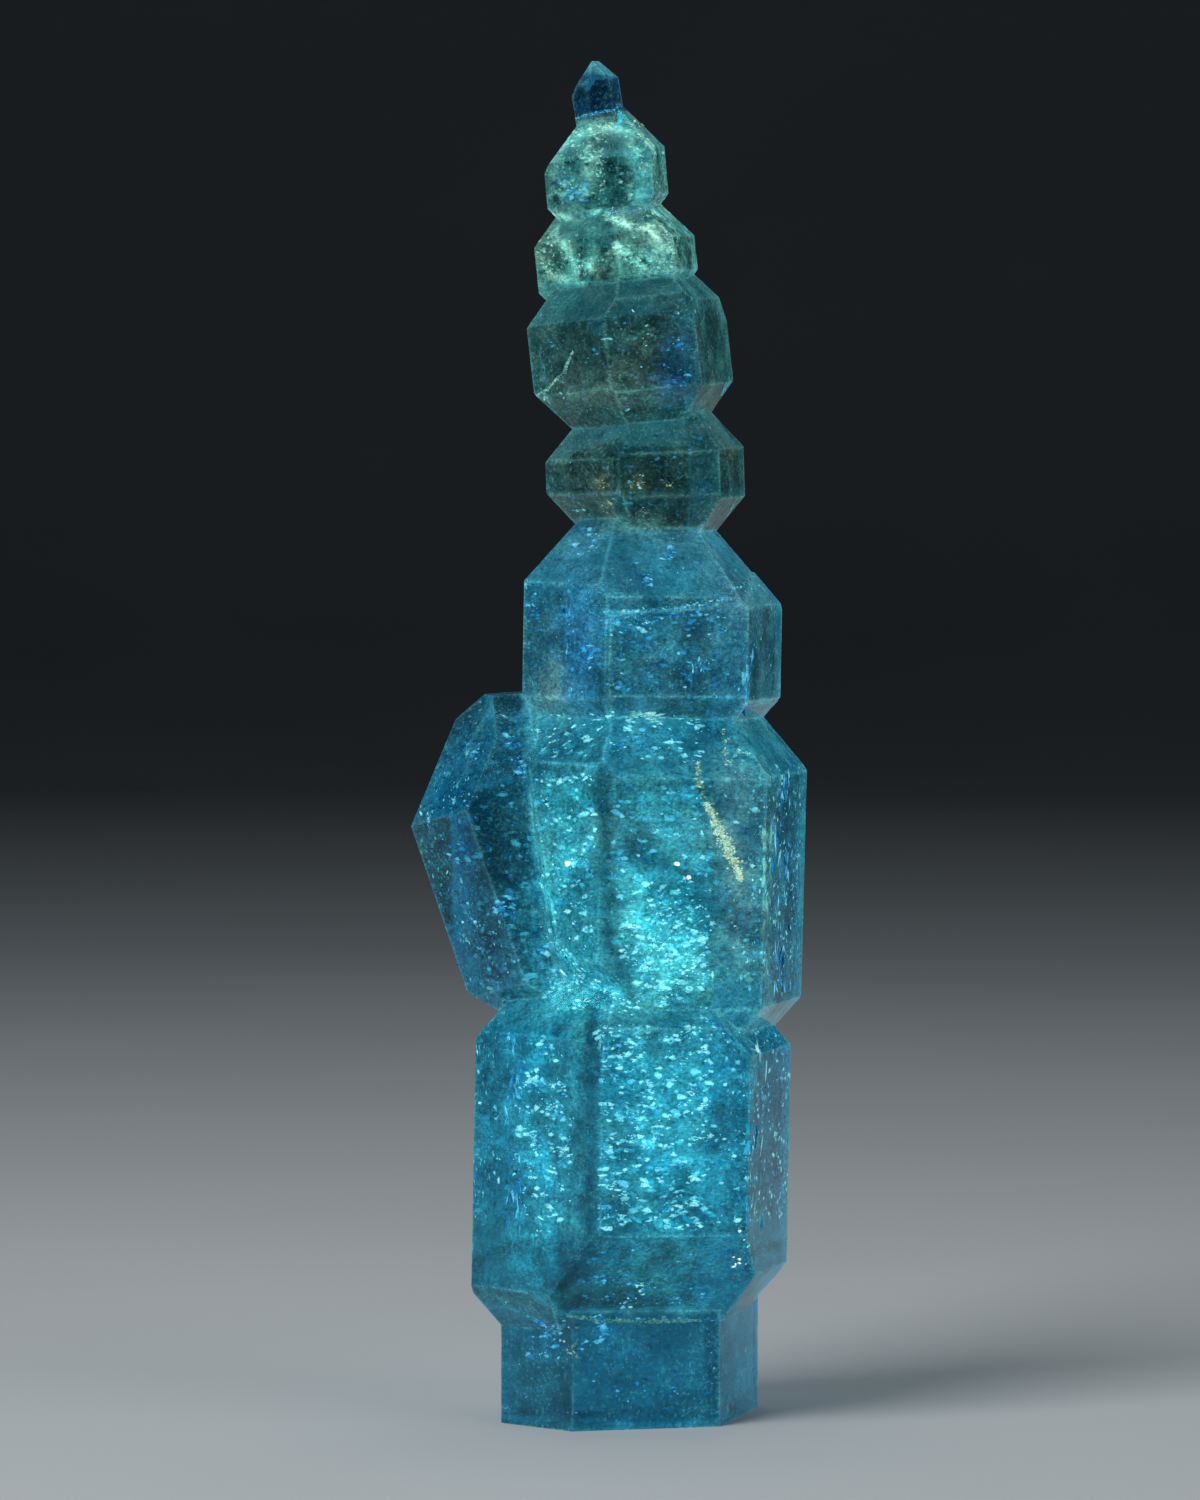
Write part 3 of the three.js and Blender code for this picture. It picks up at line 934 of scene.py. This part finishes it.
# Zones seen from the front, from the tip down
FRONT_ZONES = [
    # Second growth
    patch((-2.6, -0.4), (58.7, 60.4), 200, PALE),
    patch((0.6, 1.8), (59.6, 60.8), 90, PALE),
    patch((-2.4, 1.8), (57.0, 60.4), 220, PALE, top=0.5, depth=(0.1, 1.6)),
    cluster(-1.6, 57.4, 0.6, 44, BLUE),
    cluster(-2.2, 58.2, 0.4, 16, BLUE, top=0.7),
    # Third growth
    patch((-3.2, 3.0), (53.6, 56.4), 260, PALE, top=0.5, depth=(0.1, 1.4)),
    # Fourth growth
    cluster(3.0, 50.3, 0.4, 14, BLUE),
    cluster(3.2, 48.8, 0.5, 18, BLUE),
    cluster(1.7, 50.7, 0.5, 14, PALE),
    patch((-4.0, 4.0), (47.2, 52.4), 160, FAINT),
    # Fifth growth
    cluster(-0.3, 43.8, 0.32, 22, ROSE),
    cluster(1.2, 43.9, 0.5, 26, ROSE),
    cluster(2.6, 44.0, 0.3, 12, ROSE),
    cluster(-0.1, 42.9, 0.3, 14, ROSE),
    cluster(1.4, 42.5, 0.4, 20, ROSE),
    patch((-3.6, 4.4), (42.4, 46.4), 130, FAINT),
    # Sixth growth
    cluster(-1.1, 41.1, 0.8, 60, BLUE),
    cluster(-3.3, 38.3, 0.5, 34, BLUE),
    cluster(-0.9, 36.1, 0.6, 40, BLUE),
    patch((6.1, 6.6), (33.6, 36.6), 50, STRIPE),
    patch((-0.3, 1.9), (36.9, 37.9), 110, GLINT, top=1.0),
    patch((4.3, 5.3), (37.2, 38.1), 34, GLINT, top=1.1),
    patch((3.7, 4.3), (34.2, 35.8), 30, BLUE, upright=True),
    cluster(2.8, 40.6, 0.4, 24, BLUE),
    cluster(1.7, 39.4, 0.3, 14, BLUE),
    patch((-2.0, -0.8), (34.0, 39.0), 120, BLUE, upright=True, top=0.9),
    patch((-3.8, 5.8), (34.0, 40.8), 520, FAINT),
    patch((-3.8, 5.0), (33.8, 38.6), 260, BLUE, top=0.6),
    patch((0.7, 2.4), (32.6, 33.5), 60, GLINT, palette="pale", stretch=3.0),
    # Seventh growth
    patch((-3.6, 4.2), (31.0, 33.4), 620, GLINT),
    cluster(2.3, 22.8, 2.2, 1500, GLINT),
    patch((0.3, 4.6), (19.4, 25.8), 900, GLINT),
    patch((0.1, 4.6), (25.0, 30.0), 820, GLINT, top=0.75),
    patch((-3.3, -0.6), (22.0, 30.6), 900, GLINT),
    cluster(-1.9, 26.4, 0.7, 60, GLINT, top=1.2),
    patch((4.6, 7.0), (20.4, 31.0), 260, FAINT, palette="pale", top=0.4),
    patch((7.0, 7.4), (20.4, 28.0), 170, STRIPE, palette="pale", top=0.75),
    patch((7.5, 8.4), (20.2, 30.2), 420, STRIPE, top=1.15),
    patch((-3.0, 1.2), (19.4, 21.4), 620, GLINT, top=1.1),
    patch((1.6, 3.6), (20.0, 20.7), 90, GLINT, top=1.2),
    # Eighth growth
    patch((-0.4, 4.6), (9.5, 18.8), 3000, GLINT, stretch=1.8),
    patch((1.9, 3.5), (14.2, 14.5), 22, GLINT, stretch=2.6, top=1.3),
    patch((3.4, 4.5), (13.3, 13.8), 18, GLINT, stretch=2.6, top=1.3),
    patch((-4.5, -1.4), (8.8, 18.6), 1300, GLINT, round=True),
    patch((-4.8, -4.0), (8.9, 18.0), 170, STRIPE),
    patch((4.8, 6.2), (9.0, 17.8), 160, FAINT),
    patch((6.2, 7.2), (8.4, 17.8), 230, STRIPE, palette="cyan"),
    patch((5.7, 6.3), (7.4, 9.7), 10, SPARK, top=0.8, size=(0.1, 0.3)),
    patch((-1.4, 4.6), (6.0, 9.2), 260, FAINT, palette="blue"),
    patch((0.1, 1.8), (5.9, 7.2), 80, GLINT),
    # Ninth growth
    patch((-3.7, -2.2), (3.2, 5.4), 130, BLUE),
    patch((-1.4, -0.1), (3.8, 5.4), 90, BLUE),
    patch((-2.2, -1.5), (3.2, 5.2), 30, PALE, palette="gold"),
    patch((-4.0, 5.5), (0.4, 5.2), 260, FAINT, palette="blue"),
    # Side crystal
    patch((-8.6, -3.8), (20.6, 32.6), 260, FAINT, top=0.6),
    cluster(-5.6, 32.8, 0.9, 60, FAINT, palette="pale"),
    cluster(-6.2, 31.5, 0.5, 50, BLUE, top=1.2),
    cluster(-4.6, 31.9, 0.5, 34, BLUE),
    cluster(-4.2, 30.8, 0.5, 34, BLUE),
    cluster(-7.0, 29.1, 0.6, 40, BLUE),
    cluster(-6.9, 26.8, 0.6, 40, BLUE),
    cluster(-5.0, 24.3, 0.6, 40, BLUE),
    # Bright sparks in the seventh growth
    cluster(-1.94, 26.4, 0.09, 9, SPARK),
    cluster(3.05, 26.4, 0.09, 5, SPARK),
    cluster(3.66, 25.8, 0.08, 5, SPARK),
    cluster(1.76, 22.0, 0.24, 8, SPARK, palette="cyan"),
]

# The same kinds of inclusion on the other sides, turned round from the front
ROUND_ZONES = [
    patch((-4.6, 4.6), (9.4, 18.6), 1300, GLINT),
    patch((-4.6, 4.6), (20.4, 30.4), 1300, GLINT),
    patch((-4.0, 4.0), (34.0, 40.0), 240, FAINT),
    patch((-4.0, 4.0), (34.0, 40.0), 120, BLUE),
    patch((-3.6, 3.6), (42.4, 52.0), 160, FAINT),
    patch((-2.4, 2.4), (53.8, 60.0), 240, PALE),
    patch((-4.5, 4.5), (0.4, 7.0), 240, FAINT),
]
ROUND_TURNS = (75.5, 135.5, 165.5, 195.5, 255.5)

# Healed cracks and veils seen from the front, as paths of (across, height) under the face, with
# how many plates each millimetre of them holds
CRACK = dict(size=(0.05, 0.22), depth=(0.05, 0.25), stretch=1.5, top=0.9, dimness=1.0, plates=70)
VEIL = dict(size=(0.05, 0.24), palette="pale", top=0.85, dimness=1.1, plates=44)
CRACKS = [
    dict(path=[(-0.77, 56.5), (0.1, 56.1), (0.86, 55.7), (2.1, 55.9)], width=0.3, **VEIL),
    dict(path=[(-2.8, 55.6), (-2.06, 54.65), (-1.2, 53.6)], width=0.6, **VEIL),
    dict(path=[(0.1, 54.9), (0.9, 54.3), (2.0, 53.8)], width=0.7, **VEIL),
    dict(path=[(-2.8, 56.6), (-1.6, 56.0)], width=0.3, **VEIL),
    dict(path=[(-3.2, 55.8), (-3.3, 54.6), (-2.6, 53.7)], width=0.5, **VEIL),
    dict(path=[(1.95, 56.4), (2.5, 55.7), (2.8, 54.8), (2.85, 53.9)], width=0.2, **VEIL),
    dict(path=[(-2.9, 58.9), (-1.9, 59.9), (-0.6, 60.4), (0.2, 60.6)], width=0.4, **VEIL),
    dict(path=[(-0.4, 60.2), (-0.6, 58.6), (-0.3, 57.4)], width=0.7, **VEIL),
    dict(path=[(1.3, 60.0), (1.5, 58.4)], width=0.6, **VEIL),
    dict(path=[(0.7, 60.8), (1.4, 60.2), (2.0, 59.5)], width=0.36, **VEIL),
    dict(
        path=[(-1.55, 60.9), (-0.86, 61.1), (0.17, 61.3), (0.6, 61.5)],
        width=0.1,
        palette="blue",
        top=1.2,
    ),
    dict(path=[(-1.7, 50.0), (-2.1, 49.1), (-3.0, 48.2), (-3.05, 47.8)], width=0.1, palette="pale", top=0.7),
    dict(path=[(-3.0, 48.2), (-3.4, 48.0)], width=0.08, palette="pale", top=0.7),
    dict(path=[(-3.0, 48.0), (-2.75, 47.6)], width=0.08, palette="pale", top=0.7),
    dict(path=[(-2.2, 56.3), (0.0, 56.4), (2.2, 56.7)], width=0.1, palette="blue", plates=30),
    dict(path=[(-0.3, 38.0), (2.4, 38.1), (4.9, 38.4), (6.5, 39.4)], width=0.22, palette="cyan", plates=50),
    dict(path=[(-0.3, 37.6), (2.4, 37.7), (4.9, 38.0)], width=0.3, palette="blue", plates=26),
    dict(path=[(4.0, 31.1), (4.1, 30.2), (4.4, 29.0)], width=0.3, palette="gold", plates=46),
    dict(
        path=[(4.4, 29.2), (5.0, 28.0), (5.5, 26.8), (6.1, 25.6)],
        width=0.46,
        palette="gold",
        plates=240,
        top=1.2,
        dimness=0.6,
    ),
    dict(path=[(5.25, 32.6), (5.35, 30.9)], width=0.24, palette="gold", plates=26),
    dict(path=[(5.5, 31.0), (6.0, 31.6), (6.6, 31.2)], width=0.16, palette="pale", plates=40),
    dict(path=[(-3.4, 31.9), (-2.0, 31.4)], width=0.6, palette="cyan", plates=30),
    dict(
        path=[(-2.9, 23.6), (-2.6, 22.6), (-1.55, 21.5), (-0.47, 20.7), (1.0, 20.0)],
        width=0.5,
        palette="cyan",
        top=1.2,
    ),
    dict(path=[(1.0, 20.3), (2.6, 20.6), (3.6, 20.2)], width=0.4, palette="cyan", plates=50),
    dict(path=[(4.2, 19.4), (4.75, 18.9), (5.7, 18.1)], width=0.3, palette="cyan", plates=60),
    dict(path=[(-2.0, 5.4), (-0.4, 5.1), (1.7, 5.0), (4.2, 5.0)], width=0.25, palette="pale", top=0.4),
]


def build_inclusions():
    """Every piece inside the quartz, each one joined mesh."""
    quarry = Quarry()
    material = glint_material()
    rng = random.Random(SEED)
    front, around, dust, cracks = (InclusionMesh() for _ in range(4))
    for zone in FRONT_ZONES:
        scatter(front, quarry, rng, zone)
    for turn in ROUND_TURNS:
        for zone in ROUND_ZONES:
            scatter(around, quarry, rng, dict(zone, turn=turn))
    scatter_dust(dust, rng, quarry.anywhere(rng, DUST_COUNT), DUST_DEEPEST)
    scatter_dust(dust, rng, quarry.along_edges(rng, EDGE_DUST_COUNT), EDGE_DUST_DEEPEST)
    for number, crack in enumerate(CRACKS):
        scatter_along(cracks, quarry, rng, {**CRACK, **crack, "seed": number * CRACK_SEED_STEP})
    return [
        front.finish("glints_front", material),
        around.finish("glints_round", material),
        dust.finish("dust", material),
        cracks.finish("healed_cracks", material),
    ]


# Stage, light and camera, in metres

# A pale round floor that sweeps up to a low wall all the way round, with a painted pool of light:
# palest near the crystal and darker outwards. Its pool of light and its specks are ranges, as the
# quartz's noises have, and its colours run outwards.
FLOOR_REACH = 0.62
FLOOR_SWEEP = 0.2
SWEEP_STEPS = 12
WALL_TOP = 0.7
FLOOR_SIDES = 96
FLOOR_LIGHT_POOL = ((0.06, 0.7), (0.0, 1.0))
FLOOR_SPECK = ((0.3, 0.7), (-0.015, 0.015))
FLOOR_GRAIN = dict(scale=0.02, detail=3.0)
FLOOR_ROUGHNESS = 0.85
FLOOR_COLOURS = [
    (0.0, (0.78, 0.83, 0.85, 1)),
    (0.42, (0.34, 0.38, 0.41, 1)),
    (1.0, (0.065, 0.075, 0.085, 1)),
]

# Square lamps, aimed at the crystal's middle. Only the key light is mirrored in the quartz.
LIGHT_AIM = Vector((0, 0, 0.032))
WHITE = (1, 1, 1)
LIGHTS = [
    dict(name="key", place=(-0.26, -0.3, 0.3), side=0.26, power=1.3, colour=WHITE, mirrored=True),
    dict(name="fill", place=(0.34, -0.3, 0.2), side=0.3, power=0.3, colour=WHITE, mirrored=False),
    dict(name="top", place=(0.0, 0.1, 0.45), side=0.3, power=0.25, colour=(0.92, 0.98, 1.0), mirrored=False),
]

# The faint light that comes from all round
AIR_COLOUR = (0.7, 0.78, 0.84, 1)
AIR_STRENGTH = 0.06


def floor_profile():
    """The floor's (radius, height) points, from its flat edge up its sweep to the wall's top."""
    profile = [(FLOOR_REACH, 0.0)]
    for step in range(1, SWEEP_STEPS + 1):
        angle = math.pi / 2 * step / SWEEP_STEPS
        across, up = math.sin(angle) * FLOOR_SWEEP, math.cos(angle) * FLOOR_SWEEP
        profile.append((FLOOR_REACH + across, FLOOR_SWEEP - up))
    profile.append((FLOOR_REACH + FLOOR_SWEEP, WALL_TOP))
    return profile


def build_stage():
    bm = bmesh.new()
    rings = []
    for radius, height in floor_profile():
        angles = [math.tau * k / FLOOR_SIDES for k in range(FLOOR_SIDES)]
        ring = [bm.verts.new((radius * math.cos(a), radius * math.sin(a), height)) for a in angles]
        rings.append(ring)
    bm.faces.new(rings[0])
    for lower, upper in zip(rings, rings[1:]):
        for k in range(FLOOR_SIDES):
            after = (k + 1) % FLOOR_SIDES
            bm.faces.new((lower[k], upper[k], upper[after], lower[after]))
    floor = make_object("studio_floor", bm)
    for polygon in floor.data.polygons:
        polygon.use_smooth = len(polygon.vertices) == 4
    floor.data.materials.append(floor_material())


def floor_material():
    material, tree, shader, _ = new_material("pale floor")
    coordinates = add_node(tree, "ShaderNodeTexCoord")
    reach = add_node(tree, "ShaderNodeVectorMath", operation="LENGTH")
    tree.links.new(coordinates.outputs["Object"], reach.inputs[0])
    # Painted pool of light: palest near the crystal, darker outwards up the sweep and wall
    light_pool = remap(tree, reach.outputs["Value"], *FLOOR_LIGHT_POOL)
    speck = remap(tree, noise_node(tree, **FLOOR_GRAIN), *FLOOR_SPECK)
    colour = ramp_colour(tree, math_node(tree, "ADD", light_pool, speck), FLOOR_COLOURS)
    tree.links.new(colour, shader.inputs["Base Color"])
    shader.inputs["Roughness"].default_value = FLOOR_ROUGHNESS
    return material


def build_light(name, place, side, power, colour, mirrored):
    data = bpy.data.lights.new(name, "AREA")
    data.shape = "RECTANGLE"
    data.size = data.size_y = side
    data.energy = power
    data.color = colour
    lamp = bpy.data.objects.new(name, data)
    lamp.location = place
    lamp.rotation_mode = "QUATERNION"
    lamp.rotation_quaternion = (LIGHT_AIM - Vector(place)).to_track_quat("-Z", "Y")
    lamp.visible_camera = False
    lamp.visible_glossy = mirrored
    bpy.context.collection.objects.link(lamp)


def build_air():
    world = bpy.data.worlds.new("studio air")
    world.use_nodes = True
    background = world.node_tree.nodes["Background"]
    background.inputs["Color"].default_value = AIR_COLOUR
    background.inputs["Strength"].default_value = AIR_STRENGTH
    bpy.context.scene.world = world


def build_camera():
    data = bpy.data.cameras.new("camera")
    data.lens = CAMERA_LENS
    data.sensor_width = CAMERA_SENSOR
    data.clip_start, data.clip_end = CAMERA_CLIP
    camera = bpy.data.objects.new("camera", data)
    angle = math.radians(CAMERA_ELEVATION)
    back = Vector((0, -math.cos(angle), math.sin(angle)))
    camera.location = CAMERA_AIM + back * CAMERA_DISTANCE
    camera.rotation_mode = "QUATERNION"
    camera.rotation_quaternion = (-back).to_track_quat("-Z", "Y")
    bpy.context.collection.objects.link(camera)
    bpy.context.scene.camera = camera


# The plain view transform keeps the saturated glow, which the default one would wash out
bpy.context.scene.view_settings.view_transform = "Standard"
build_camera()
build_stage()
for light in LIGHTS:
    build_light(**light)
build_air()

skin = build_skin()
skin.data.materials.append(quartz_material())
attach(skin, "root")
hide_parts(NODE)

for piece in build_inclusions():
    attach(piece, "root")
